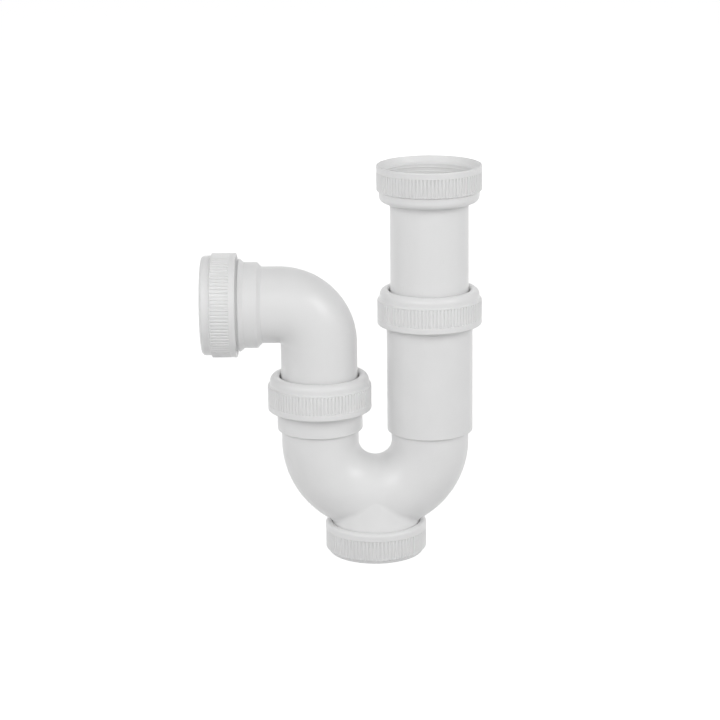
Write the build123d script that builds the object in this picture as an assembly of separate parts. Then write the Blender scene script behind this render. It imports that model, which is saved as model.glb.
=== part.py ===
"""Extendable tubular trap: telescopic inlet, U-bend with cleaning cap, and swivelling outlet elbow.

Frame: millimetres, +Z up. The origin is the centre of the cleaning cap's underside, +X points to
the inlet leg and -X to the outlet. The threads are left plain: each threaded length is a cylinder
at its root (male) or at its major radius (female).
"""

from build123d import *
from math import cos, pi, sin, sqrt
import os

# Pipes
TUBE_OD = 42.0
TUBE_WALL = 2.3
ELBOW_OD = 41.3
BEND_OD = 41.9
WASTE_PIPE_OD = 42.0
PIPE_WALL = 2.4
LEG_GAP = 8.4
ELBOW_CROTCH_RADIUS = 0.5

# Sockets
PIPE_CLEARANCE = 0.3
SOCKET_WALL = 1.85
SHOULDER_DROP = 0.9
SHOULDER_EDGE = 0.6
SOCKET_LEDGE = 2.0
INLET_SOCKET_LENGTH = 70.5
SWIVEL_SOCKET_LENGTH = 22.1
OUTLET_SOCKET_LENGTH = 24.3
INLET_SHOULDER_RISE = 6.0
SWIVEL_SHOULDER_RISE = 7.4
OUTLET_SHOULDER_RUN = 9.05
OUTLET_SHOULDER_CONE = 2.3

# Screwed socket mouths
THREAD_STEP = 1.45
THREAD_DEPTH = 1.1
THREAD_GAP = 0.3
THREAD_RUN_OUT = 0.8
MOUTH_CONE_LENGTH = 6.0
MOUTH_CONE_SPREAD = 2.2
MOUTH_EDGE = 0.5
COLLAR_PROJECTION = 0.5
COLLAR_WIDTH = 0.4
COLLAR_CONE = 2.4
COLLAR_STAND_OFF = 1.2

# Nuts
NUT_WALL = 2.15
NUT_RIM = 3.4
NUT_RIM_EDGE = 0.6
NUT_RIM_DRAFT = 0.1
NUT_RIB_LENGTH = 9.9
NUT_RIB_COUNT = 90
NUT_STEP = 0.85
NUT_STEP_CHAMFER = 0.7
NUT_CROWN = 5.0
NUT_SHOULDER_ROUND = 3.5
NUT_LIP = 2.8
NUT_LIP_EDGE = 1.0
NUT_HOLE_GAP = 0.9
NUT_CROWN_NARROWING = 1.0

# Grip ribs
RIB_DEPTH = 0.4
RIB_GROOVE_SHARE = 0.45
RIB_ROOT_OVERLAP = 0.6

# Compression rings
SEAT_GAP = 0.1
SLIP_RING_THICKNESS = 1.6
SLIP_RING_GAP = 0.4
SEAL_HEAD = 3.3
SEAL_HEAD_INSET = 0.5
SEAL_TOE = 0.27
SEAL_EDGE = 0.4

# Telescopic inlet
TUBE_SHOWING = 47.2
TUBE_TRAVEL_DOWN = 34.0
TUBE_END_GAP = 0.3
TUBE_END_CHAMFER = 0.8
FLANGE_PROJECTION = 2.3
FLANGE_THICKNESS = 2.4
INLET_CROWN = 5.8
INLET_HOLE_GAP = 0.5
INLET_THREAD_CLEARANCE = 0.7
INLET_RECESS = 0.4
INLET_LEDGE = 1.6
INLET_LEAD_IN = 0.8
INLET_MOUTH_DEPTH = 3.2
INLET_MOUTH_LIP = 0.9
WASHER_THICKNESS = 2.8
WASHER_OVERHANG = 0.4
WASHER_BORE_GAP = 0.2

# Outlet elbow
ELBOW_RISE = 46.66
SPIGOT_END_GAP = 0.6

# Cleaning eye
BEND_CAP_GAP = 0.52
NECK_FLARE = 2.85
NECK_THREAD_DEPTH = 1.2
NECK_WALL = 2.4
NECK_SHOULDER = 1.2
NECK_BLEND = 4.0
CAP_HEIGHT = 17.2
CAP_FLOOR = 2.5
CAP_WALL = 3.5
CAP_THREAD_GAP = 0.4
CAP_RIM = 4.3
CAP_RIM_ROUND = 1.6
CAP_RIM_STAND = 0.2
CAP_RIM_LEAD_IN = 0.4
CAP_FOOT = 2.4
CAP_FOOT_INSET = 1.5
CAP_RIB_COUNT = 84
CAP_WASHER_THICKNESS = 2.5

# Radii that follow
tube_radius = TUBE_OD / 2
tube_bore = tube_radius - TUBE_WALL
elbow_radius = ELBOW_OD / 2
elbow_bore = elbow_radius - PIPE_WALL
bend_radius = BEND_OD / 2
bend_bore = bend_radius - PIPE_WALL
waste_radius = WASTE_PIPE_OD / 2
socket_radius = max(tube_radius, elbow_radius, waste_radius) + PIPE_CLEARANCE + SOCKET_WALL
thread_root = socket_radius + THREAD_STEP
nut_thread = thread_root + THREAD_DEPTH + THREAD_GAP
nut_crown_bore = nut_thread - NUT_CROWN_NARROWING
nut_radius = nut_thread + NUT_WALL
nut_rib_crest = nut_radius - NUT_RIM_DRAFT
nut_band = nut_rib_crest - RIB_DEPTH - NUT_STEP
flange_radius = tube_radius + FLANGE_PROJECTION
inlet_thread = flange_radius + INLET_THREAD_CLEARANCE
neck_radius = bend_radius + NECK_FLARE
neck_thread_root = neck_radius - NECK_THREAD_DEPTH
neck_bore = neck_thread_root - NECK_WALL
cap_thread = neck_radius + CAP_THREAD_GAP
cap_radius = cap_thread + CAP_WALL

# Heights inside a compression nut, from its open end
nut_rib_top = NUT_RIM + NUT_RIB_LENGTH
nut_height = nut_rib_top + NUT_STEP_CHAMFER + NUT_CROWN
nut_lip_face = nut_height - NUT_LIP
slip_ring_base = nut_lip_face - SEAT_GAP - SLIP_RING_THICKNESS
seal_head_base = slip_ring_base - SEAT_GAP - SEAL_HEAD
mouth_height = seal_head_base - SEAT_GAP

# Heights of the assembly
leg_x = (nut_radius + LEG_GAP + socket_radius) / 2
bend_outer = leg_x + bend_radius
bend_centre = CAP_HEIGHT + BEND_CAP_GAP + sqrt(bend_outer**2 - neck_radius**2)
bend_axis_low = bend_centre - leg_x
inlet_shoulder = bend_centre + INLET_SHOULDER_RISE
inlet_mouth = inlet_shoulder + INLET_SOCKET_LENGTH
slide_nut_base = inlet_mouth - mouth_height
swivel_shoulder = bend_centre + SWIVEL_SHOULDER_RISE
swivel_mouth = swivel_shoulder + SWIVEL_SOCKET_LENGTH
swivel_nut_base = swivel_mouth - mouth_height
elbow_turn = elbow_radius + ELBOW_CROTCH_RADIUS
outlet_axis = swivel_mouth + ELBOW_RISE
elbow_top = outlet_axis - elbow_turn
spigot_end = swivel_shoulder + SOCKET_LEDGE + SPIGOT_END_GAP
outlet_length = OUTLET_SHOULDER_RUN + OUTLET_SOCKET_LENGTH
outlet_nut_base = outlet_length - mouth_height
tube_end = inlet_shoulder + SOCKET_LEDGE + TUBE_END_GAP + TUBE_TRAVEL_DOWN
inlet_nut_base = slide_nut_base + nut_height + TUBE_SHOWING
inlet_nut_height = nut_rib_top + NUT_STEP_CHAMFER + INLET_CROWN
inlet_nut_top = inlet_nut_base + inlet_nut_height
flange_base = inlet_nut_base + NUT_LIP + SEAT_GAP
tube_top = flange_base + FLANGE_THICKNESS
washer_base = tube_top + SEAT_GAP
washer_top = washer_base + WASHER_THICKNESS
neck_thread_top = CAP_HEIGHT - NECK_SHOULDER
neck_end = CAP_FLOOR + CAP_WASHER_THICKNESS + 2 * SEAT_GAP

# Where each joint's own frame lies
INLET_AXIS = Pos(leg_x, 0, 0)
SWIVEL_AXIS = Pos(-leg_x, 0, 0)
OUTLET_AXIS = Pos(-leg_x - elbow_turn, 0, outlet_axis) * Rot(0, -90, 0)


def turned(outline, rounds=()):
    """Turn a closed (radius, height) outline about Z, with a radius on each named corner."""
    sketch = make_face(Polyline(*outline, close=True))
    for corner, radius in rounds:
        sketch = fillet(sketch.vertices().sort_by_distance(corner)[:1], radius)
    return revolve(Plane.XZ * sketch, Axis.Z)


def rod(radius, base, top):
    """A plain cylinder about Z between two heights."""
    return Pos(0, 0, base) * Cylinder(radius, top - base, align=(Align.CENTER, Align.CENTER, Align.MIN))


def grip_ribs(count, crest, base, length):
    """A ring of upright grip ribs with flat crests and a V groove between neighbours."""
    pitch = 2 * pi / count
    half_crest = pitch * (1 - RIB_GROOVE_SHARE) / 2
    root = crest - RIB_DEPTH
    points = []
    for index in range(count):
        middle = index * pitch
        for radius, angle in (
            (crest, middle - half_crest),
            (crest, middle + half_crest),
            (root, middle + pitch / 2),
        ):
            points.append((radius * cos(angle), radius * sin(angle)))
    ring = make_face(Polyline(*points, close=True)) - Circle(root - RIB_ROOT_OVERLAP)
    return Pos(0, 0, base) * extrude(ring, length)


def nut_outside(height):
    """Outer outline of a nut, from its open end's edge to the edge of its crown."""
    rib_root = nut_rib_crest - RIB_DEPTH
    return [
        (nut_radius, 0),
        (nut_rib_crest, NUT_RIM),
        (rib_root, NUT_RIM),
        (rib_root, nut_rib_top),
        (nut_band, nut_rib_top + NUT_STEP_CHAMFER),
        (nut_band, height),
    ]


def nut(inside, hole, height):
    """A ribbed nut, open end down, with the given inner outline from the crown's hole to the mouth."""
    outline = nut_outside(height) + [(hole, height)] + inside
    rounds = [
        ((nut_radius, 0), NUT_RIM_EDGE),
        ((nut_band, height), NUT_SHOULDER_ROUND),
        ((hole, height), NUT_LIP_EDGE),
    ]
    ribs = grip_ribs(NUT_RIB_COUNT, nut_rib_crest, NUT_RIM, NUT_RIB_LENGTH)
    return turned(outline, rounds) + ribs


def compression_nut(pipe_radius):
    """Nut that squeezes a slip ring and a tapered seal onto a pipe."""
    hole = pipe_radius + NUT_HOLE_GAP
    narrowing_top = seal_head_base + NUT_CROWN_NARROWING
    inside = [
        (hole, nut_lip_face),
        (nut_crown_bore, nut_lip_face),
        (nut_crown_bore, narrowing_top),
        (nut_thread, seal_head_base),
        (nut_thread, THREAD_RUN_OUT),
        (nut_thread + THREAD_RUN_OUT, 0),
    ]
    return nut(inside, hole, nut_height)


def union_nut():
    """Inlet nut: a lip under the tube's flange, a recess for the washer and a threaded, flared mouth."""
    hole = tube_radius + INLET_HOLE_GAP
    recess = inlet_thread + INLET_RECESS
    lip_face = inlet_nut_height - NUT_LIP
    recess_height = inlet_nut_top - washer_top
    inside = [
        (hole, lip_face),
        (recess, lip_face),
        (recess, recess_height),
        (inlet_thread, recess_height),
        (inlet_thread, INLET_MOUTH_DEPTH + INLET_LEAD_IN),
        (inlet_thread + INLET_LEDGE, INLET_MOUTH_DEPTH),
        (nut_radius - INLET_MOUTH_LIP, 0),
    ]
    return nut(inside, hole, inlet_nut_height)


def slip_ring(pipe_radius):
    """Flat ring that lets the nut turn on the seal without dragging it."""
    inner = pipe_radius + SLIP_RING_GAP
    outer = nut_crown_bore - SLIP_RING_GAP
    top = slip_ring_base + SLIP_RING_THICKNESS
    return rod(outer, slip_ring_base, top) - rod(inner, slip_ring_base, top)


def tapered_seal(pipe_radius):
    """Rubber ring with a flat head on the mouth and a taper that wedges into the mouth's cone."""
    inner = pipe_radius + PIPE_CLEARANCE
    head = nut_crown_bore - SEAL_HEAD_INSET
    head_top = seal_head_base + SEAL_HEAD
    slope = MOUTH_CONE_SPREAD / MOUTH_CONE_LENGTH
    cone_top = inner + MOUTH_CONE_SPREAD - SEAT_GAP
    toe = inner + SEAL_TOE
    toe_height = seal_head_base - (cone_top - toe) / slope
    outline = [
        (inner, head_top),
        (head, head_top),
        (head, seal_head_base),
        (cone_top, seal_head_base),
        (toe, toe_height),
        (inner, toe_height),
    ]
    return turned(outline, [((head, head_top), SEAL_EDGE)])


def socket_outside(shoulder, shoulder_end, pipe, mouth, collar=False):
    """Outer outline of a socket, from the pipe's wall up to the axis at its mouth."""
    nut_base = mouth - mouth_height
    outline = [(pipe, shoulder_end), (socket_radius, shoulder)]
    if collar:
        collar_top = nut_base - COLLAR_STAND_OFF
        collar_radius = thread_root + COLLAR_PROJECTION
        outline += [
            (socket_radius, collar_top - COLLAR_WIDTH - COLLAR_CONE),
            (collar_radius, collar_top - COLLAR_WIDTH),
            (collar_radius, collar_top),
            (thread_root, collar_top),
        ]
    else:
        outline += [
            (socket_radius, nut_base + THREAD_RUN_OUT),
            (thread_root, nut_base + THREAD_RUN_OUT + THREAD_STEP),
        ]
    return outline + [(thread_root, mouth - MOUTH_EDGE), (thread_root - MOUTH_EDGE, mouth), (0, mouth)]


def socket_inside(pipe_radius, ledge, mouth):
    """Space inside a socket: a bore for the pipe that opens in a cone at the mouth."""
    bore = pipe_radius + PIPE_CLEARANCE
    return turned([
        (0, ledge),
        (bore, ledge),
        (bore, mouth - MOUTH_CONE_LENGTH),
        (bore + MOUTH_CONE_SPREAD, mouth),
        (0, mouth),
    ])


def leg_outside(shoulder, mouth):
    """Solid leg of the body, from the U-bend's end to the socket's mouth."""
    shoulder_end = shoulder - SHOULDER_DROP
    outline = [(0, bend_centre), (bend_radius, bend_centre)]
    outline += socket_outside(shoulder, shoulder_end, bend_radius, mouth)
    return turned(outline, [((socket_radius, shoulder), SHOULDER_EDGE)])


def u_bend(radius):
    """Solid half ring of the given pipe radius, from leg to leg under the bend's centre."""
    section = Pos(leg_x, 0, bend_centre) * Circle(radius)
    return revolve(section, Axis((0, 0, bend_centre), (0, 1, 0)), 180)


def trap_body():
    """U-bend with its two sockets and the screwed neck of the cleaning eye, moulded in one."""
    outside = u_bend(bend_radius)
    outside += INLET_AXIS * leg_outside(inlet_shoulder, inlet_mouth)
    outside += SWIVEL_AXIS * leg_outside(swivel_shoulder, swivel_mouth)
    outside += turned([
        (0, neck_end),
        (neck_thread_root, neck_end),
        (neck_thread_root, neck_thread_top),
        (neck_radius, neck_thread_top),
        (neck_radius, CAP_HEIGHT),
        (bend_radius, bend_axis_low),
        (0, bend_axis_low),
    ])
    neck_crease = outside.edges().filter_by(GeomType.BSPLINE)
    outside = fillet(neck_crease, NECK_BLEND)
    inside = u_bend(bend_bore)
    inlet_ledge = inlet_shoulder + SOCKET_LEDGE
    swivel_ledge = swivel_shoulder + SOCKET_LEDGE
    inside += INLET_AXIS * rod(bend_bore, bend_centre, inlet_ledge)
    inside += INLET_AXIS * socket_inside(tube_radius, inlet_ledge, inlet_mouth)
    inside += SWIVEL_AXIS * rod(bend_bore, bend_centre, swivel_ledge)
    inside += SWIVEL_AXIS * socket_inside(elbow_radius, swivel_ledge, swivel_mouth)
    inside += turned([
        (0, neck_end),
        (neck_bore, neck_end),
        (neck_bore, CAP_HEIGHT),
        (bend_bore, bend_axis_low),
        (0, bend_axis_low),
    ])
    return outside - inside


def elbow_bend(radius):
    """Solid quarter ring of the given pipe radius, from the spigot to the outlet."""
    section = Pos(-leg_x, 0, elbow_top) * Circle(radius)
    return revolve(section, Axis((-leg_x - elbow_turn, 0, elbow_top), (0, -1, 0)), 90)


def outlet_bend():
    """Elbow with a plain spigot below and a collared, screwed socket facing -X."""
    shoulder = OUTLET_SHOULDER_RUN + OUTLET_SHOULDER_CONE
    outline = [(0, 0), (elbow_radius, 0)]
    outline += socket_outside(shoulder, OUTLET_SHOULDER_RUN, elbow_radius, outlet_length, collar=True)
    outside = SWIVEL_AXIS * rod(elbow_radius, spigot_end, elbow_top)
    outside += elbow_bend(elbow_radius)
    shoulder_corners = ((elbow_radius, OUTLET_SHOULDER_RUN), (socket_radius, shoulder))
    outside += OUTLET_AXIS * turned(outline, [(corner, SHOULDER_EDGE) for corner in shoulder_corners])
    outlet_ledge = OUTLET_SHOULDER_RUN + SOCKET_LEDGE
    inside = SWIVEL_AXIS * rod(elbow_bore, spigot_end, elbow_top)
    inside += elbow_bend(elbow_bore)
    inside += OUTLET_AXIS * rod(elbow_bore, 0, outlet_ledge)
    inside += OUTLET_AXIS * socket_inside(waste_radius, outlet_ledge, outlet_length)
    return outside - inside


def inlet_tube():
    """Telescopic tube with a flange on top, which the inlet nut lifts by its lip."""
    return turned([
        (tube_bore, tube_end),
        (tube_radius - TUBE_END_CHAMFER, tube_end),
        (tube_radius, tube_end + TUBE_END_CHAMFER),
        (tube_radius, flange_base),
        (flange_radius, flange_base),
        (flange_radius, tube_top),
        (tube_bore, tube_top),
    ])


def inlet_washer():
    """Flat rubber washer on the tube's flange."""
    outer = flange_radius + WASHER_OVERHANG
    return rod(outer, washer_base, washer_top) - rod(tube_bore + WASHER_BORE_GAP, washer_base, washer_top)


def cleaning_cap():
    """Ribbed screw cap, mouth up, with a smooth rounded rim and a flat underside."""
    rib_base = CAP_FOOT
    rib_top = CAP_HEIGHT - CAP_RIM
    rib_crest = cap_radius - CAP_RIM_STAND
    rib_root = rib_crest - RIB_DEPTH
    mouth = cap_thread + CAP_RIM_LEAD_IN
    outline = [
        (0, 0),
        (rib_root - CAP_FOOT_INSET, 0),
        (rib_root, rib_base),
        (rib_root, rib_top),
        (cap_radius, rib_top),
        (cap_radius, CAP_HEIGHT),
        (mouth, CAP_HEIGHT),
        (cap_thread, CAP_HEIGHT - CAP_RIM_LEAD_IN),
        (cap_thread, CAP_FLOOR),
        (0, CAP_FLOOR),
    ]
    ribs = grip_ribs(CAP_RIB_COUNT, rib_crest, rib_base, rib_top - rib_base)
    return turned(outline, [((cap_radius, CAP_HEIGHT), CAP_RIM_ROUND)]) + ribs


def cap_washer():
    """Flat rubber ring between the neck's end and the cap's floor."""
    base = CAP_FLOOR + SEAT_GAP
    top = base + CAP_WASHER_THICKNESS
    return rod(neck_thread_root, base, top) - rod(neck_bore, base, top)


JOINTS = (
    ("slide", INLET_AXIS * Pos(0, 0, slide_nut_base), tube_radius),
    ("swivel", SWIVEL_AXIS * Pos(0, 0, swivel_nut_base), elbow_radius),
    ("outlet", OUTLET_AXIS * Pos(0, 0, outlet_nut_base), waste_radius),
)

nodes = {
    "trap_body": trap_body(),
    "inlet_tube": INLET_AXIS * inlet_tube(),
    "inlet_nut": INLET_AXIS * Pos(0, 0, inlet_nut_top) * Rot(180, 0, 0) * union_nut(),
    "inlet_washer": INLET_AXIS * inlet_washer(),
    "outlet_bend": outlet_bend(),
    "cleaning_cap": cleaning_cap(),
    "cap_washer": cap_washer(),
}
for joint, place, pipe_radius in JOINTS:
    nodes[f"{joint}_nut"] = place * compression_nut(pipe_radius)
    nodes[f"{joint}_slip_ring"] = place * slip_ring(pipe_radius)
    nodes[f"{joint}_seal"] = place * tapered_seal(pipe_radius)

os.makedirs("parts", exist_ok=True)
for name, shape in nodes.items():
    export_step(shape, f"parts/{name}.step")
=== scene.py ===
"""Dressed model of an extendable tubular trap in white moulded plastic.

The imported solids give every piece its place. This script turns finer meshes for the ribbed nuts and the
cleaning cap, winds the screw threads, dresses each piece in its real material, and sets up the studio.

Sizes are in millimetres, in each screwed piece's own frame: the origin is the centre of its open end and
+Z runs from there to its crown. They become metres in one place, where a mesh is written.
"""

from __future__ import annotations

import logging
import math
from dataclasses import dataclass, field
from enum import Enum
from typing import Callable, NamedTuple

import bmesh
import bpy
from mathutils import Matrix, Vector


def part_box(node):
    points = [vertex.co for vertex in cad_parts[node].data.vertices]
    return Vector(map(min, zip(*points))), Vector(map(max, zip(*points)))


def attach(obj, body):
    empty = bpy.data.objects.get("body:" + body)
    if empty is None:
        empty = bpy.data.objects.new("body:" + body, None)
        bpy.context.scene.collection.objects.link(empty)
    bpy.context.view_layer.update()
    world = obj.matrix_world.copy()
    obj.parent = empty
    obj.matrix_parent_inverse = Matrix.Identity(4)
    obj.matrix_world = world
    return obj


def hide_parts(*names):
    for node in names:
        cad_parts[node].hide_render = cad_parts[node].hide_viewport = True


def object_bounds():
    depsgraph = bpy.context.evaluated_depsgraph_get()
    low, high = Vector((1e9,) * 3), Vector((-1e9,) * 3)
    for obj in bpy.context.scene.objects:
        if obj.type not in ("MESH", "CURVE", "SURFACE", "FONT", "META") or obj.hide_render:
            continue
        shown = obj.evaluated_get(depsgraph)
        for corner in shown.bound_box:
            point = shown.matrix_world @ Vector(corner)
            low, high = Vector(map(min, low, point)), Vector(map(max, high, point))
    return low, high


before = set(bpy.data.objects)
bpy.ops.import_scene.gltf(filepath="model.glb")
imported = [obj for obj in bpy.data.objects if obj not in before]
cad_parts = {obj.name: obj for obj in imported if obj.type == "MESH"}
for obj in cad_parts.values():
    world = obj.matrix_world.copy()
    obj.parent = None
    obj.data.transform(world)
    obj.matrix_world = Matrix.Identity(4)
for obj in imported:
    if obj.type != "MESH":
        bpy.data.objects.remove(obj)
CAD_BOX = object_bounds()

LOG = logging.getLogger("trap")
MM = 0.001
FULL_TURN = 2 * math.pi

# The sRGB curve: a straight foot up to the knee, then a power.
SRGB_MAX = 255
SRGB_KNEE = 0.04045
SRGB_SLOPE = 12.92
SRGB_OFFSET = 0.055
SRGB_POWER = 2.4

# The sockets of a Mix node that mixes two colours.
COLOUR_A = 6
COLOUR_B = 7
MIXED_COLOUR = 2

# How many finer layers each noise has, and how strong they are.
FLOW_NOISE = {"Detail": 2.0, "Roughness": 0.45}
GRAIN_NOISE = {"Detail": 3.0, "Roughness": 0.6}
BLOOM_NOISE = {"Detail": 4.0, "Roughness": 0.6}
SKIN_NOISE = {"Detail": 2.0}


class Facing(Enum):
    """Which way the crown of a screwed piece points, away from its open end."""

    UP = (0.0, 0.0, 1.0)
    DOWN = (0.0, 0.0, -1.0)
    OUTLET = (-1.0, 0.0, 0.0)


class ThreadSide(Enum):
    """Which wall carries a screw ridge, as the sign of its rise and its share of a pitch."""

    MALE = (1.0, 0.0)
    FEMALE = (-1.0, 0.5)


class Slot(Enum):
    """The record's material slots for the nuts and the pipes."""

    NUT = "nut_plastic"
    PIPE = "pipe_plastic"


class Corner(NamedTuple):
    """One corner of an outline: radius, height and the round on it, in millimetres."""

    radius: float
    height: float
    round: float = 0.0


def linear_colour(code: str) -> tuple[float, float, float, float]:
    """Turn an sRGB hex colour into the linear colour that a shader takes.

    Args:
        code: Six hex digits, such as "E4E4E2".

    Returns:
        Linear red, green and blue, and an alpha of 1.
    """
    channels = [int(code[start:start + 2], 16) / SRGB_MAX for start in (0, 2, 4)]
    red, green, blue = (
        value / SRGB_SLOPE
        if value <= SRGB_KNEE
        else ((value + SRGB_OFFSET) / (1 + SRGB_OFFSET)) ** SRGB_POWER
        for value in channels
    )
    return (red, green, blue, 1.0)


def per_metre(size_mm: float) -> float:
    """Scale of a pattern whose features are this many millimetres apart."""
    return 1 / (size_mm * MM)


def add_node(
    tree: bpy.types.NodeTree,
    kind: str,
    inputs: dict[str | int, object] | None = None,
    links: dict[str | int, bpy.types.NodeSocket] | None = None,
    **settings: object,
) -> bpy.types.Node:
    """Add one node with its settings, its fixed inputs and its links.

    Args:
        tree: The node tree that takes it.
        kind: Blender's type name of the node.
        inputs: Values of its input sockets, by name or index.
        links: Output sockets that feed its input sockets, by name or index.
        settings: Properties of the node itself.

    Returns:
        The new node.
    """
    node = tree.nodes.new(kind)
    for name, value in settings.items():
        setattr(node, name, value)
    for name, value in (inputs or {}).items():
        node.inputs[name].default_value = value
    for name, source in (links or {}).items():
        tree.links.new(source, node.inputs[name])
    return node


def blank_material(name: str) -> bpy.types.Material:
    """Make a material with an empty node tree.

    Args:
        name: Name of the material.

    Returns:
        The new material.
    """
    made = bpy.data.materials.new(name)
    made.use_nodes = True
    made.node_tree.nodes.clear()
    return made


@dataclass(frozen=True)
class Plastic:
    """A thermoplastic and the way that its surface was made.

    Attributes:
        name: The material's common name and making.
        colour: Colour of most of the surface, as sRGB hex.
        shade: Colour where the flow of the melt left it slightly duller, as sRGB hex.
        roughness: Middle roughness, which the grain varies.
        ior: Index of refraction of the plastic.
        flow_mm: Size of the flow marks and sink marks.
        flow_depth_mm: How deep those marks are.
        grain_mm: Size of the satin grain. The real one is under 0.1 mm, and it is drawn this coarse so
            that it shows.
        grain_depth_mm: How deep the grain is.
        stretch: How much longer than wide the marks are along the piece's axis.
        roughness_spread: How far the grain takes the roughness to either side of its middle.
    """

    name: str
    colour: str
    shade: str
    roughness: float = 0.3
    ior: float = 1.49
    flow_mm: float = 16.0
    flow_depth_mm: float = 0.05
    grain_mm: float = 1.3
    grain_depth_mm: float = 0.002
    stretch: float = 1.0
    roughness_spread: float = 0.03

    def material(self) -> bpy.types.Material:
        """Make the node material.

        Returns:
            A material named for the plastic.
        """
        made = blank_material(self.name)
        tree = made.node_tree
        place = add_node(tree, "ShaderNodeTexCoord")
        drawn = add_node(
            tree,
            "ShaderNodeMapping",
            inputs={"Scale": (1.0, 1.0, 1 / self.stretch)},
            links={"Vector": place.outputs["Object"]},
        )
        flow = add_node(
            tree,
            "ShaderNodeTexNoise",
            inputs={"Scale": per_metre(self.flow_mm), **FLOW_NOISE},
            links={"Vector": drawn.outputs["Vector"]},
        )
        grain = add_node(
            tree,
            "ShaderNodeTexNoise",
            inputs={"Scale": per_metre(self.grain_mm), **GRAIN_NOISE},
            links={"Vector": drawn.outputs["Vector"]},
        )
        colour = add_node(
            tree,
            "ShaderNodeMix",
            data_type="RGBA",
            inputs={COLOUR_A: linear_colour(self.shade), COLOUR_B: linear_colour(self.colour)},
            links={0: flow.outputs["Fac"]},
        )
        gloss = add_node(
            tree,
            "ShaderNodeMapRange",
            inputs={
                "To Min": self.roughness - self.roughness_spread,
                "To Max": self.roughness + self.roughness_spread,
            },
            links={"Value": grain.outputs["Fac"]},
        )
        waves = add_node(
            tree,
            "ShaderNodeBump",
            inputs={"Distance": self.flow_depth_mm * MM},
            links={"Height": flow.outputs["Fac"]},
        )
        satin = add_node(
            tree,
            "ShaderNodeBump",
            inputs={"Distance": self.grain_depth_mm * MM},
            links={"Height": grain.outputs["Fac"], "Normal": waves.outputs["Normal"]},
        )
        shader = add_node(
            tree,
            "ShaderNodeBsdfPrincipled",
            inputs={"IOR": self.ior},
            links={
                "Base Color": colour.outputs[MIXED_COLOUR],
                "Roughness": gloss.outputs["Result"],
                "Normal": satin.outputs["Normal"],
            },
        )
        add_node(tree, "ShaderNodeOutputMaterial", links={"Surface": shader.outputs["BSDF"]})
        return made


@dataclass(frozen=True)
class Rubber:
    """A moulded rubber: dark or pale, with a fine dusty bloom on a matt skin.

    Attributes:
        name: The material's common name and making.
        colour: Colour of the skin, as sRGB hex.
        bloom: Colour of the dusty bloom, as sRGB hex.
        roughness: Roughness of the skin.
        ior: Index of refraction of the rubber.
        bloom_mm: Size of the bloom's patches.
        skin_mm: Size of the skin's grain, also drawn coarser than the real one so that it shows.
        skin_depth_mm: How deep the grain is.
    """

    name: str
    colour: str
    bloom: str
    roughness: float = 0.72
    ior: float = 1.52
    bloom_mm: float = 5.0
    skin_mm: float = 0.6
    skin_depth_mm: float = 0.02

    def material(self) -> bpy.types.Material:
        """Make the node material.

        Returns:
            A material named for the rubber.
        """
        made = blank_material(self.name)
        tree = made.node_tree
        place = add_node(tree, "ShaderNodeTexCoord")
        patches = add_node(
            tree,
            "ShaderNodeTexNoise",
            inputs={"Scale": per_metre(self.bloom_mm), **BLOOM_NOISE},
            links={"Vector": place.outputs["Object"]},
        )
        skin = add_node(
            tree,
            "ShaderNodeTexNoise",
            inputs={"Scale": per_metre(self.skin_mm), **SKIN_NOISE},
            links={"Vector": place.outputs["Object"]},
        )
        colour = add_node(
            tree,
            "ShaderNodeMix",
            data_type="RGBA",
            inputs={COLOUR_A: linear_colour(self.colour), COLOUR_B: linear_colour(self.bloom)},
            links={0: patches.outputs["Fac"]},
        )
        bump = add_node(
            tree,
            "ShaderNodeBump",
            inputs={"Distance": self.skin_depth_mm * MM},
            links={"Height": skin.outputs["Fac"]},
        )
        shader = add_node(
            tree,
            "ShaderNodeBsdfPrincipled",
            inputs={"IOR": self.ior, "Roughness": self.roughness},
            links={"Base Color": colour.outputs[MIXED_COLOUR], "Normal": bump.outputs["Normal"]},
        )
        add_node(tree, "ShaderNodeOutputMaterial", links={"Surface": shader.outputs["BSDF"]})
        return made


# Polypropylene from a polished mould: a soft white with a broad sheen and faint flow marks.
MOULDED_POLYPROPYLENE = Plastic("injection_moulded_polypropylene", colour="EAEAEA", shade="E4E4E4")
# The same polypropylene drawn through a die: its marks run along the tube and it shines a little more.
EXTRUDED_POLYPROPYLENE = Plastic(
    "extruded_polypropylene",
    colour="EAEAEA",
    shade="E5E5E5",
    roughness=0.28,
    flow_mm=9.0,
    flow_depth_mm=0.02,
    grain_depth_mm=0.0005,
    stretch=12.0,
    roughness_spread=0.015,
)
# Polyethylene in its natural colour: waxier and slightly greyer than the white mouldings.
NATURAL_POLYETHYLENE = Plastic(
    "moulded_natural_polyethylene",
    colour="D3D4D2",
    shade="C8C9C6",
    roughness=0.5,
    ior=1.51,
    flow_mm=8.0,
)
# Vulcanised rubber: nearly black, matt, with a pale bloom in patches.
MOULDED_RUBBER = Rubber("moulded_epdm_rubber", colour="1E1E1F", bloom="343536")
# The same kind of rubber filled white, as sold for visible washers: chalky and quite matt.
WHITE_RUBBER = Rubber("moulded_white_rubber", colour="CFCFCC", bloom="DADAD8")


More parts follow.
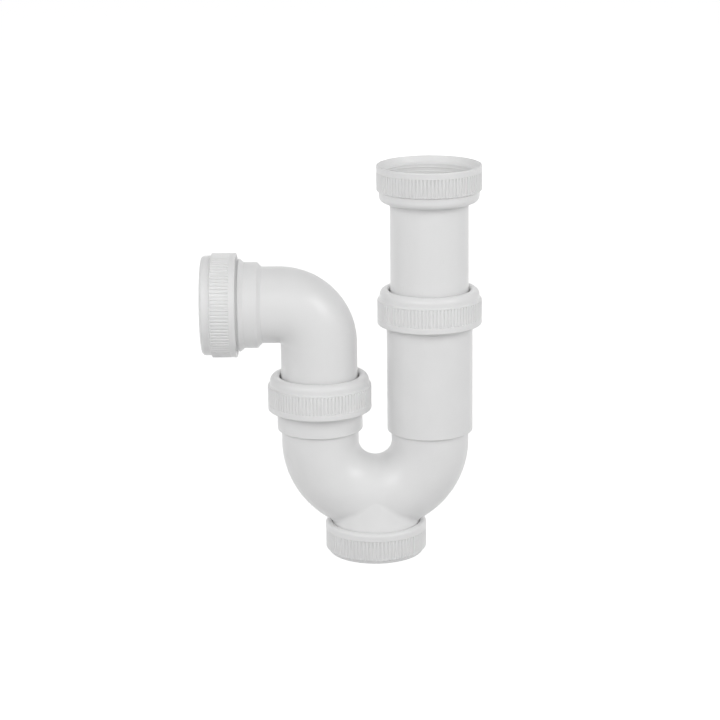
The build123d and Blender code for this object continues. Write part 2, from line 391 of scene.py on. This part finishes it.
def rounded(corners: list[Corner]) -> list[tuple[float, float]]:
    """Round the corners of an outline and hold its flats with a point beside each round.

    Args:
        corners: The corners in order. An open outline has no round on its first and last corner.

    Returns:
        Points (radius, height) along the outline, in millimetres.
    """
    arc_steps = 6
    hold = 0.1
    fullest_share = 0.96
    spots = [Vector((corner.radius, corner.height)) for corner in corners]
    following = spots[1:] + spots[:1]
    edges = [beyond - spot for spot, beyond in zip(spots, following)]
    halves = [(-edges[index - 1]).angle(edges[index]) / 2 for index in range(len(corners))]
    wanted = [corner.round / math.tan(half) for corner, half in zip(corners, halves)]
    points = []
    for index, corner in enumerate(corners):
        here = spots[index]
        if corner.round == 0:
            points.append(tuple(here))
            continue
        room_before = edges[index - 1].length / (wanted[index - 1] + wanted[index])
        room_after = edges[index].length / (wanted[index] + wanted[(index + 1) % len(corners)])
        reach = wanted[index] * min(1.0, fullest_share * min(room_before, room_after))
        radius = reach * math.tan(halves[index])
        before = -edges[index - 1].normalized()
        after = edges[index].normalized()
        centre = here + (before + after).normalized() * (radius / math.sin(halves[index]))
        first = here + before * reach - centre
        sweep = (here + after * reach - centre).angle_signed(first)
        points.append(tuple(here + before * (reach + hold)))
        for step in range(arc_steps + 1):
            spoke = Matrix.Rotation(sweep * step / arc_steps, 2) @ first
            points.append(tuple(centre + spoke))
        points.append(tuple(here + after * (reach + hold)))
    return points


def seat(node: str, facing: Facing) -> Matrix:
    """Find a screwed piece's own frame from the box of its solid.

    Args:
        node: The solid's name.
        facing: Which way its crown points.

    Returns:
        The matrix from the piece's frame to the trap's, both in metres.
    """
    low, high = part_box(node)
    axis = Vector(facing.value)
    half_length = abs((high - low).dot(axis)) / 2
    open_end = (low + high) / 2 - axis * half_length
    turn = Vector(Facing.UP.value).rotation_difference(axis)
    return Matrix.Translation(open_end) @ turn.to_matrix().to_4x4()


def write_mesh(
    name: str,
    place: Matrix,
    points: list[tuple[float, float, float]],
    faces: list[tuple[int, ...]],
) -> bpy.types.Object:
    """Write a closed mesh as an object at the trap's origin.

    Args:
        name: Name of the piece.
        place: The matrix from the piece's frame to the trap's.
        points: Vertices in the piece's frame, in millimetres.
        faces: Vertex numbers of each face.

    Returns:
        The new object, smooth shaded with its hard edges kept.
    """
    weld_mm = 0.002
    hard_edge_degrees = 40.0
    mesh = bpy.data.meshes.new(name)
    mesh.from_pydata([place @ (Vector(point) * MM) for point in points], [], faces)
    shape = bmesh.new()
    shape.from_mesh(mesh)
    bmesh.ops.remove_doubles(shape, verts=shape.verts, dist=weld_mm * MM)
    bmesh.ops.recalc_face_normals(shape, faces=shape.faces)
    shape.to_mesh(mesh)
    shape.free()
    mesh.shade_smooth()
    mesh.set_sharp_from_angle(angle=math.radians(hard_edge_degrees))
    piece = bpy.data.objects.new(name, mesh)
    bpy.context.scene.collection.objects.link(piece)
    return piece


def dress(piece: bpy.types.Object, material: bpy.types.Material) -> None:
    """Give a piece one material in place of those that it has."""
    piece.data.materials.clear()
    piece.data.materials.append(material)


def carry(pieces: list[bpy.types.Object], body: str) -> list[bpy.types.Object]:
    """Let pieces ride on a body.

    Args:
        pieces: The pieces.
        body: Name of the body that carries them.

    Returns:
        The same pieces.
    """
    for piece in pieces:
        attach(piece, body)
    return pieces


@dataclass(frozen=True)
class Thread:
    """One right-handed screw ridge about a piece's own axis, in millimetres.

    Attributes:
        side: Whether the ridge stands on an outer or an inner wall.
        wall: Radius of the wall that carries it.
        start: Height where its first turn begins.
        end: Height where its last turn ends.
        rise: How far its crest stands from the wall.
        pitch: Height of one turn.
        crest_width: Width of the flat on its crest.
        foot_width: Width of its foot.
        crest_round: Size of the bevel on each edge of the crest.
        sink: How far its foot reaches into the wall.
        run_out_degrees: Angle over which it grows from the wall at each end.
        steps_per_turn: Sections in one turn.
    """

    side: ThreadSide
    wall: float
    start: float
    end: float
    rise: float = 1.0
    pitch: float = 2.309
    crest_width: float = 0.4
    foot_width: float = 1.8
    crest_round: float = 0.2
    sink: float = 0.15
    run_out_degrees: float = 60.0
    steps_per_turn: int = 96

    def section(self, share: float) -> list[tuple[float, float]]:
        """Outline the ridge where it has grown to a share of its rise.

        Args:
            share: From 0, below the wall, to 1, at full rise.

        Returns:
            Points (distance from the wall, distance along the axis).
        """
        top = self.rise * share
        edge = top - self.crest_round * share
        half_crest = self.crest_width / 2
        half_foot = self.foot_width / 2
        half = [
            (-self.sink, half_foot),
            (edge, half_crest + self.crest_round),
            (top, half_crest),
        ]
        return [(out, -along) for out, along in half] + half[::-1]

    def build(self, name: str, place: Matrix) -> bpy.types.Object:
        """Wind the ridge as a closed mesh.

        Args:
            name: Name of the piece.
            place: The matrix from the screwed piece's frame to the trap's.

        Returns:
            The new object.
        """
        sign, share_of_pitch = self.side.value
        turns = (self.end - self.start) / self.pitch
        steps = round(turns * self.steps_per_turn)
        run_out = math.radians(self.run_out_degrees)
        first_turn = self.start / self.pitch - share_of_pitch
        points = []
        for step in range(steps + 1):
            wound = turns * FULL_TURN * step / steps
            left = turns * FULL_TURN - wound
            grown = min(1.0, wound / run_out, left / run_out)
            share = math.sin(grown * math.pi / 2)
            angle = first_turn * FULL_TURN + wound
            height = self.start + turns * self.pitch * step / steps
            for out, along in self.section(share):
                radius = self.wall + sign * out
                points.append((radius * math.cos(angle), radius * math.sin(angle), height + along))
        size = len(self.section(1.0))
        faces = [tuple(range(size)), tuple(steps * size + corner for corner in range(size))]
        for step in range(steps):
            for corner in range(size):
                beside = (corner + 1) % size
                base = step * size
                faces.append((base + corner, base + beside, base + size + beside, base + size + corner))
        return write_mesh(name, place, points, faces)


@dataclass(frozen=True)
class GripRibs:
    """A ring of upright grip ribs with rounded grooves between them, in millimetres.

    Attributes:
        count: Number of ribs.
        crest: Radius of the ribs' crests.
        low: Height where the grooves end at the smooth rim.
        high: Height where the grooves run out.
        depth: Depth of a groove.
        fade: Length over which a groove rises to the rim.
        groove_share: Share of the pitch that the groove takes.
        groove_stations: Where the mesh has points across a groove, in halves of its width.
        fade_shares: Where the mesh has rows along the fade, as shares of its length.
    """

    count: int
    crest: float
    low: float
    high: float
    depth: float = 0.6
    fade: float = 0.2
    groove_share: float = 0.55
    groove_stations: tuple[float, ...] = (-1.0, -0.66, -0.33, 0.0, 0.33, 0.66, 1.0)
    fade_shares: tuple[float, ...] = (0.25, 0.5, 0.75, 1.0)

    @property
    def root(self) -> float:
        """Radius of the grooves' bottoms."""
        return self.crest - self.depth

    def fade_heights(self) -> list[float]:
        """Heights of the rows in which a groove rises to the rim, from the rim on."""
        return [self.low + self.fade * share for share in self.fade_shares]

    def angles(self) -> list[float]:
        """Place the stations around the ring, closer together in the grooves.

        Returns:
            Angles in radians, in order.
        """
        rib_middle = -0.5
        half = self.groove_share / 2
        stations = [rib_middle] + [half * share for share in self.groove_stations]
        return [FULL_TURN * (rib + at) / self.count for rib in range(self.count) for at in stations]

    def cut(self, angle: float, radius: float, height: float) -> float:
        """Depth of the groove at a point of the surface.

        Args:
            angle: Angle of the point around the axis.
            radius: Radius of the plain surface there.
            height: Height of the point.

        Returns:
            How far the surface lies under the plain one.
        """
        inside_zone = self.low <= height <= self.high and radius > self.root
        if not inside_zone:
            return 0.0
        phase = angle * self.count / FULL_TURN
        across = abs(phase - round(phase)) / (self.groove_share / 2)
        if across >= 1:
            return 0.0
        grown = min(1.0, (height - self.low) / self.fade)
        return self.depth * math.sin(grown * math.pi / 2) * math.sqrt(1 - across**2)


def turn_mesh(
    name: str,
    place: Matrix,
    outline: list[tuple[float, float]],
    angles: list[float],
    cut: Callable[[float, float, float], float],
    closed: bool = True,
) -> bpy.types.Object:
    """Turn an outline about the piece's axis into a closed mesh with grooves in it.

    Args:
        name: Name of the piece.
        place: The matrix from the piece's frame to the trap's.
        outline: Points (radius, height) in order.
        angles: Stations around the axis, in order.
        cut: Depth of the groove at an angle, radius and height.
        closed: Whether the outline closes on itself. If not, it ends on the axis.

    Returns:
        The new object.
    """
    rows = len(outline)
    points = []
    for angle in angles:
        for radius, height in outline:
            reach = radius - cut(angle, radius, height)
            points.append((reach * math.cos(angle), reach * math.sin(angle), height))
    faces = []
    for station in range(len(angles)):
        here = station * rows
        beside = (station + 1) % len(angles) * rows
        for row in range(rows if closed else rows - 1):
            above = (row + 1) % rows
            faces.append((here + row, here + above, beside + above, beside + row))
    return write_mesh(name, place, points, faces)


@dataclass
class RibbedNut:
    """A ribbed nut with a smooth rim, a stepped crown and a hole for a pipe.

    Attributes:
        node: Name of its solid and of the body that it rides on.
        facing: Which way its crown points.
        hole: Radius of the hole in its crown.
        outer: Radius of the rim's edge.
        crest: Radius of the ribs' crests.
        band: Radius of the crown above the ribs.
        rim: Height of the smooth rim.
        rib_top: Height where the ribs end.
        step_top: Height where the step from the ribs to the crown ends.
        height: Height of the whole nut.
        lip: Thickness of the crown.
        rim_round: Round on the rim's edge.
        shoulder_round: Round on the crown's outer edge.
        hole_round: Round on the edge of the crown's hole.
        soft_edge: Round on the small edges.
        rib_count: Number of ribs.
        lip_face: Height of the crown's inner face.
        ribs: The grip ribs.
        place: The matrix from the nut's frame to the trap's.
    """

    node: str
    facing: Facing
    hole: float
    outer: float = 28.15
    crest: float = 28.05
    band: float = 26.8
    rim: float = 3.4
    rib_top: float = 13.3
    step_top: float = 14.0
    height: float = 19.0
    lip: float = 2.8
    rim_round: float = 0.6
    shoulder_round: float = 3.2
    hole_round: float = 1.5
    soft_edge: float = 0.2
    rib_count: int = 90
    lip_face: float = field(init=False)
    ribs: GripRibs = field(init=False)
    place: Matrix = field(init=False)

    def __post_init__(self) -> None:
        """Set the inner face of the crown, the ribs and the nut's own frame."""
        self.lip_face = self.height - self.lip
        self.ribs = GripRibs(self.rib_count, self.crest, self.rim, self.rib_top)
        self.place = seat(self.node, self.facing)

    def outside(self) -> list[Corner]:
        """Outline the outer wall.

        Returns:
            Its corners, from the rim's edge to the crown's hole.
        """
        half_edge = self.soft_edge / 2
        return [
            Corner(self.outer, 0.0, self.rim_round),
            Corner(self.crest, self.rim),
            *(Corner(self.crest, height) for height in self.ribs.fade_heights()),
            Corner(self.crest, self.rib_top - self.soft_edge),
            Corner(self.crest - half_edge, self.rib_top),
            Corner(self.ribs.root - half_edge, self.rib_top + half_edge),
            Corner(self.band, self.step_top, self.soft_edge),
            Corner(self.band, self.height, self.shoulder_round),
            Corner(self.hole, self.height, self.hole_round),
            Corner(self.hole, self.lip_face, self.soft_edge),
        ]

    def inside(self) -> list[Corner]:
        """Outline the inner wall.

        Returns:
            Its corners, from the crown's lip to the rim.
        """
        raise NotImplementedError

    def thread(self) -> Thread:
        """Set out the screw ridge on the inner wall.

        Returns:
            The ridge in the nut's own frame.
        """
        raise NotImplementedError

    def build(self) -> list[bpy.types.Object]:
        """Make the nut and its thread, riding on the nut's body.

        Returns:
            The two pieces.
        """
        outline = rounded(self.outside() + self.inside())
        nut = turn_mesh(f"{self.node}_ribbed", self.place, outline, self.ribs.angles(), self.ribs.cut)
        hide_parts(self.node)
        ridge = self.thread().build(f"{self.node}_thread", self.place)
        return carry([nut, ridge], self.node)


@dataclass
class CompressionNut(RibbedNut):
    """Nut that squeezes a slip ring and a tapered seal onto a pipe.

    Attributes:
        crown_bore: Radius above the thread, round the slip ring and the seal.
        thread_bore: Radius at the foot of the inner thread.
        bore_top: Height where the thread's wall starts to narrow.
        lead_in: Size of the chamfer at the open end.
    """

    crown_bore: float = 25.0
    thread_bore: float = 26.0
    bore_top: float = 11.1
    lead_in: float = 0.8

    def inside(self) -> list[Corner]:
        """Outline the inner wall.

        Returns:
            Its corners, from the crown's lip to the rim.
        """
        narrowing = self.thread_bore - self.crown_bore
        return [
            Corner(self.crown_bore, self.lip_face, self.soft_edge),
            Corner(self.crown_bore, self.bore_top + narrowing),
            Corner(self.thread_bore, self.bore_top),
            Corner(self.thread_bore, self.lead_in),
            Corner(self.thread_bore + self.lead_in, 0.0, self.soft_edge),
        ]

    def thread(self) -> Thread:
        """Set out the screw ridge on the inner wall.

        Returns:
            The ridge in the nut's own frame.
        """
        start = self.lead_in + Thread.foot_width / 2
        end = self.bore_top - Thread.foot_width / 2
        return Thread(ThreadSide.FEMALE, self.thread_bore, start, end)


@dataclass
class InletNut(RibbedNut):
    """Union nut, mouth up, that screws onto the sink's waste.

    Attributes:
        mouth: Radius of the flared mouth at the rim.
        ledge: Radius where the flare meets the ledge above the thread.
        ledge_depth: Height of the ledge's outer edge.
        thread_bore: Radius at the foot of the inner thread.
        thread_start: Height where the thread's wall begins.
        recess: Radius of the recess round the washer.
        recess_start: Height where the recess begins.
        thread_rise: How far the thread's crest stands from its wall.
    """

    height: float = 19.8
    mouth: float = 27.25
    ledge: float = 25.6
    ledge_depth: float = 3.2
    thread_bore: float = 24.0
    thread_start: float = 4.0
    recess: float = 24.4
    recess_start: float = 11.6
    thread_rise: float = 0.2

    def inside(self) -> list[Corner]:
        """Outline the inner wall.

        Returns:
            Its corners, from the crown's lip to the rim.
        """
        return [
            Corner(self.recess, self.lip_face, self.soft_edge),
            Corner(self.recess, self.recess_start),
            Corner(self.thread_bore, self.recess_start, self.soft_edge),
            Corner(self.thread_bore, self.thread_start, self.soft_edge),
            Corner(self.ledge, self.ledge_depth, self.soft_edge),
            Corner(self.mouth, 0.0, self.soft_edge),
        ]

    def thread(self) -> Thread:
        """Set out the screw ridge on the inner wall.

        Returns:
            The ridge in the nut's own frame.
        """
        end = self.recess_start - Thread.foot_width / 2
        return Thread(
            ThreadSide.FEMALE,
            self.thread_bore,
            self.thread_start,
            end,
            rise=self.thread_rise,
        )


@dataclass
class CleaningCap:
    """Ribbed screw cap under the U-bend, mouth up, with a broad rounded rim.

    Attributes:
        node: Name of its solid and of the body that it rides on.
        outer: Radius of the rim.
        crest: Radius of the ribs' crests.
        mouth: Radius of the rim's opening.
        lead_in: Height of the chamfer in the opening.
        thread_bore: Radius at the foot of the inner thread.
        height: Height of the whole cap.
        floor_depth: Height of the floor inside.
        rim: Height of the smooth rim.
        rim_round: Round on the rim's edge.
        foot_start: Height where the ribs end.
        foot_radius: Radius of the flat underside's edge.
        soft_edge: Round on the small edges.
        rib_count: Number of ribs.
        ribs: The grip ribs.
        place: The matrix from the cap's frame to the trap's.
    """

    node: str = "cleaning_cap"
    outer: float = 27.7
    crest: float = 27.5
    mouth: float = 24.6
    lead_in: float = 0.4
    thread_bore: float = 24.2
    height: float = 17.2
    floor_depth: float = 14.7
    rim: float = 4.3
    rim_round: float = 1.6
    foot_start: float = 14.8
    foot_radius: float = 25.6
    soft_edge: float = 0.25
    rib_count: int = 84
    ribs: GripRibs = field(init=False)
    place: Matrix = field(init=False)

    def __post_init__(self) -> None:
        """Set the ribs and the cap's own frame."""
        self.ribs = GripRibs(self.rib_count, self.crest, self.rim, self.foot_start)
        self.place = seat(self.node, Facing.DOWN)

    def corners(self) -> list[Corner]:
        """Outline the cap.

        Returns:
            Its corners, from the middle of the underside, round the wall, to the middle of the floor.
        """
        half_edge = self.soft_edge / 2
        return [
            Corner(0.0, self.height),
            Corner(self.foot_radius, self.height, self.soft_edge * 2),
            Corner(self.ribs.root - half_edge, self.foot_start + half_edge),
            Corner(self.crest - half_edge, self.foot_start),
            Corner(self.crest, self.foot_start - self.soft_edge),
            *(Corner(self.crest, height) for height in reversed(self.ribs.fade_heights())),
            Corner(self.crest, self.rim),
            Corner(self.outer, self.rim - self.soft_edge, half_edge),
            Corner(self.outer, 0.0, self.rim_round),
            Corner(self.mouth, 0.0, self.soft_edge),
            Corner(self.thread_bore, self.lead_in),
            Corner(self.thread_bore, self.floor_depth, self.soft_edge),
            Corner(0.0, self.floor_depth),
        ]

    def build(self) -> list[bpy.types.Object]:
        """Make the cap and its thread, riding on the cap's body.

        Returns:
            The two pieces.
        """
        outline = rounded(self.corners())
        cap = turn_mesh(
            f"{self.node}_ribbed",
            self.place,
            outline,
            self.ribs.angles(),
            self.ribs.cut,
            closed=False,
        )
        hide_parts(self.node)
        start = self.lead_in + Thread.foot_width
        end = self.floor_depth - Thread.foot_width * 2
        thread = Thread(ThreadSide.FEMALE, self.thread_bore, start, end)
        ridge = thread.build(f"{self.node}_thread", self.place)
        return carry([cap, ridge], self.node)


@dataclass
class ScrewedMouth:
    """The male thread of a moulding, in the frame of the nut or cap that turns on it.

    Attributes:
        name: Name of the piece.
        body: The body whose moulding carries it.
        nut: The solid that screws onto it.
        facing: Which way that solid's crown points.
        wall: Radius of the plain wall under the thread.
        start: Height where the thread begins.
        end: Height where it ends.
    """

    name: str
    body: str
    nut: str
    facing: Facing
    wall: float = 24.6
    start: float = 3.0
    end: float = 10.0

    def build(self) -> list[bpy.types.Object]:
        """Make the thread, riding on the moulding.

        Returns:
            The one piece.
        """
        thread = Thread(ThreadSide.MALE, self.wall, self.start, self.end)
        ridge = thread.build(self.name, seat(self.nut, self.facing))
        return carry([ridge], self.body)


@dataclass
class Lamp:
    """One soft lamp that faces the trap.

    Attributes:
        name: Name of the lamp.
        azimuth: Degrees from the camera's side, positive to the inlet leg's side.
        elevation: Degrees above the floor.
        level: Light that it alone gives a white surface that faces it, where 1 is white.
        size: Side of its square, in metres.
        distance: How far it stands from the trap, in metres.
        mirrored: Whether the gloss of the trap shows it.
    """

    name: str
    azimuth: float
    elevation: float
    level: float
    size: float = 1.4
    distance: float = 1.8
    mirrored: bool = True

    def build(self, target: Vector) -> None:
        """Hang the lamp and turn it to the target.

        Args:
            target: The point that it faces, in metres.
        """
        lamp = bpy.data.lights.new(self.name, "AREA")
        lamp.shape = "SQUARE"
        lamp.size = self.size
        lamp.energy = self.level * (math.pi * self.distance) ** 2
        azimuth = math.radians(self.azimuth)
        elevation = math.radians(self.elevation)
        outward = Vector(
            (
                math.sin(azimuth) * math.cos(elevation),
                -math.cos(azimuth) * math.cos(elevation),
                math.sin(elevation),
            )
        )
        holder = bpy.data.objects.new(self.name, lamp)
        holder.location = target + outward * self.distance
        holder.rotation_euler = outward.to_track_quat("Z", "Y").to_euler()
        holder.visible_glossy = self.mirrored
        bpy.context.scene.collection.objects.link(holder)


@dataclass
class Studio:
    """White sweep, soft lamps and the photograph's camera.

    Attributes:
        horizon: Light of the surrounding white tent on the trap, level with it.
        zenith: Light of the tent from straight above.
        floor_colour: Colour of the floor that throws light back up, as sRGB hex.
        shadow_share: Share of the floor's whiteness that the trap's shadow can take.
        floor_glow: Whiteness of the floor that no shadow takes.
        lamps: The soft lamps.
        floor_size: Side of the floor, in metres.
        camera_mm: Place of the camera.
        pitch: Degrees that the camera looks down.
        yaw: Degrees that it turns to the right.
        roll: Degrees that it leans.
        focal_pixels: Focal length in pixels of the frame.
        frame_pixels: Side of the frame in pixels.
        sensor_mm: Width of the sensor.
    """

    horizon: float = 0.76
    zenith: float = 0.08
    floor_colour: str = "D6D6D6"
    shadow_share: float = 0.3
    floor_glow: float = 0.9
    lamps: tuple[Lamp, ...] = (
        Lamp("left_key", azimuth=-32.0, elevation=32.0, level=0.22, size=0.8),
        Lamp("right_key", azimuth=50.0, elevation=32.0, level=0.22, size=0.8),
        Lamp("left_panel", azimuth=-80.0, elevation=40.0, level=0.12),
        Lamp("right_panel", azimuth=80.0, elevation=40.0, level=0.1),
        Lamp("front_panel", azimuth=0.0, elevation=25.0, level=0.1),
        Lamp("back_panel", azimuth=180.0, elevation=15.0, level=0.3, size=0.8, mirrored=False),
    )
    floor_size: float = 30.0
    camera_mm: tuple[float, float, float] = (-4.807, -1190.415, 427.004)
    pitch: float = 15.023
    yaw: float = -0.144
    roll: float = -0.666
    focal_pixels: float = 2282.73
    frame_pixels: float = 720.0
    sensor_mm: float = 36.0

    def seen_rays(self, tree: bpy.types.NodeTree) -> bpy.types.NodeSocket:
        """Tell the rays that show the background from those that carry its light.

        Args:
            tree: The node tree to work in.

        Returns:
            A socket that is 1 for camera, glossy and transmission rays.
        """
        path = add_node(tree, "ShaderNodeLightPath")
        mirrored = add_node(
            tree,
            "ShaderNodeMath",
            operation="MAXIMUM",
            links={0: path.outputs["Is Glossy Ray"], 1: path.outputs["Is Transmission Ray"]},
        )
        seen = add_node(
            tree,
            "ShaderNodeMath",
            operation="MAXIMUM",
            links={0: path.outputs["Is Camera Ray"], 1: mirrored.outputs["Value"]},
        )
        return seen.outputs["Value"]

    def build_world(self) -> None:
        """Surround the scene with a white tent that lights the trap more weakly than it shows."""
        world = bpy.data.worlds.new("white_tent")
        world.use_nodes = True
        tree = world.node_tree
        tree.nodes.clear()
        place = add_node(tree, "ShaderNodeTexCoord")
        axes = add_node(tree, "ShaderNodeSeparateXYZ", links={"Vector": place.outputs["Generated"]})
        level = add_node(
            tree,
            "ShaderNodeMapRange",
            inputs={"To Min": self.horizon, "To Max": self.zenith},
            links={"Value": axes.outputs["Z"]},
        )
        light = add_node(tree, "ShaderNodeBackground", links={"Strength": level.outputs["Result"]})
        shown = add_node(tree, "ShaderNodeBackground", inputs={"Strength": 1.0})
        white = linear_colour("FFFFFF")
        for background in (light, shown):
            background.inputs["Color"].default_value = white
        both = add_node(
            tree,
            "ShaderNodeMixShader",
            links={
                0: self.seen_rays(tree),
                1: light.outputs["Background"],
                2: shown.outputs["Background"],
            },
        )
        add_node(tree, "ShaderNodeOutputWorld", links={"Surface": both.outputs["Shader"]})
        bpy.context.scene.world = world

    def build_floor(self) -> None:
        """Lay a white sweep under the trap that keeps its soft shadow."""
        half = self.floor_size / 2
        mesh = bpy.data.meshes.new("floor")
        corners = [(-half, -half, 0), (half, -half, 0), (half, half, 0), (-half, half, 0)]
        mesh.from_pydata(corners, [], [(0, 1, 2, 3)])
        floor = bpy.data.objects.new("floor", mesh)
        bpy.context.scene.collection.objects.link(floor)
        paper = blank_material("white_paper_sweep")
        tree = paper.node_tree
        bounced = add_node(
            tree,
            "ShaderNodeBsdfDiffuse",
            inputs={"Color": linear_colour(self.floor_colour)},
        )
        share = self.shadow_share
        shaded = add_node(tree, "ShaderNodeBsdfDiffuse", inputs={"Color": (share, share, share, 1.0)})
        glow = add_node(tree, "ShaderNodeEmission", inputs={"Strength": self.floor_glow})
        shown = add_node(
            tree,
            "ShaderNodeAddShader",
            links={0: shaded.outputs["BSDF"], 1: glow.outputs["Emission"]},
        )
        both = add_node(
            tree,
            "ShaderNodeMixShader",
            links={
                0: self.seen_rays(tree),
                1: bounced.outputs["BSDF"],
                2: shown.outputs["Shader"],
            },
        )
        add_node(tree, "ShaderNodeOutputMaterial", links={"Surface": both.outputs["Shader"]})
        dress(floor, paper)

    def build_camera(self) -> None:
        """Stand the camera where the photograph was taken from."""
        pitch = math.radians(self.pitch)
        yaw = math.radians(self.yaw)
        ahead = Vector(
            (
                math.sin(yaw) * math.cos(pitch),
                math.cos(yaw) * math.cos(pitch),
                -math.sin(pitch),
            )
        )
        level_right = ahead.cross(Vector(Facing.UP.value)).normalized()
        lean = Matrix.Rotation(-math.radians(self.roll), 3, ahead)
        right = lean @ level_right
        up = right.cross(ahead)
        lens = bpy.data.cameras.new("camera")
        lens.sensor_width = self.sensor_mm
        lens.lens = self.focal_pixels / self.frame_pixels * self.sensor_mm
        camera = bpy.data.objects.new("camera", lens)
        axes = Matrix((right, up, -ahead)).transposed().to_4x4()
        camera.matrix_world = Matrix.Translation(Vector(self.camera_mm) * MM) @ axes
        bpy.context.scene.collection.objects.link(camera)
        bpy.context.scene.camera = camera

    def build(self) -> None:
        """Set up the world, the floor, the lamps and the camera."""
        self.build_world()
        self.build_floor()
        low, high = CAD_BOX
        middle = (Vector(low) + Vector(high)) / 2
        for lamp in self.lamps:
            lamp.build(middle)
        self.build_camera()
        bpy.context.scene.view_settings.view_transform = "Standard"


CAD_FINISHES = {
    "trap_body": MOULDED_POLYPROPYLENE,
    "outlet_bend": MOULDED_POLYPROPYLENE,
    "inlet_tube": EXTRUDED_POLYPROPYLENE,
    "inlet_washer": WHITE_RUBBER,
    "cap_washer": MOULDED_RUBBER,
    "slide_seal": MOULDED_RUBBER,
    "swivel_seal": MOULDED_RUBBER,
    "outlet_seal": MOULDED_RUBBER,
    "slide_slip_ring": NATURAL_POLYETHYLENE,
    "swivel_slip_ring": NATURAL_POLYETHYLENE,
    "outlet_slip_ring": NATURAL_POLYETHYLENE,
}

SCREWED_PIECES = (
    CompressionNut("slide_nut", Facing.UP, hole=21.9),
    CompressionNut("swivel_nut", Facing.UP, hole=21.55),
    CompressionNut("outlet_nut", Facing.OUTLET, hole=21.9, shoulder_round=2.2),
    InletNut("inlet_nut", Facing.DOWN, hole=21.5),
    CleaningCap(),
)

MOUTHS = (
    ScrewedMouth("inlet_mouth_thread", "trap_body", "slide_nut", Facing.UP),
    ScrewedMouth("swivel_mouth_thread", "trap_body", "swivel_nut", Facing.UP),
    ScrewedMouth("outlet_mouth_thread", "outlet_bend", "outlet_nut", Facing.OUTLET, start=0.2),
    ScrewedMouth("neck_thread", "trap_body", "cleaning_cap", Facing.DOWN, wall=22.6, start=2.0),
)


def main() -> None:
    """Build every sub-assembly, dress it, set up the studio and report each piece."""
    logging.basicConfig(level=logging.INFO, format="%(name)s: %(message)s")
    materials = {finish: finish.material() for finish in dict.fromkeys(CAD_FINISHES.values())}
    for node, finish in CAD_FINISHES.items():
        dress(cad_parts[node], materials[finish])
        LOG.info("%s: %s", node, finish.name)
    for assembly in (*SCREWED_PIECES, *MOUTHS):
        for piece in assembly.build():
            dress(piece, materials[MOULDED_POLYPROPYLENE])
            LOG.info("%s: %d faces", piece.name, len(piece.data.polygons))
    Studio().build()


if __name__ == "__main__":
    main()
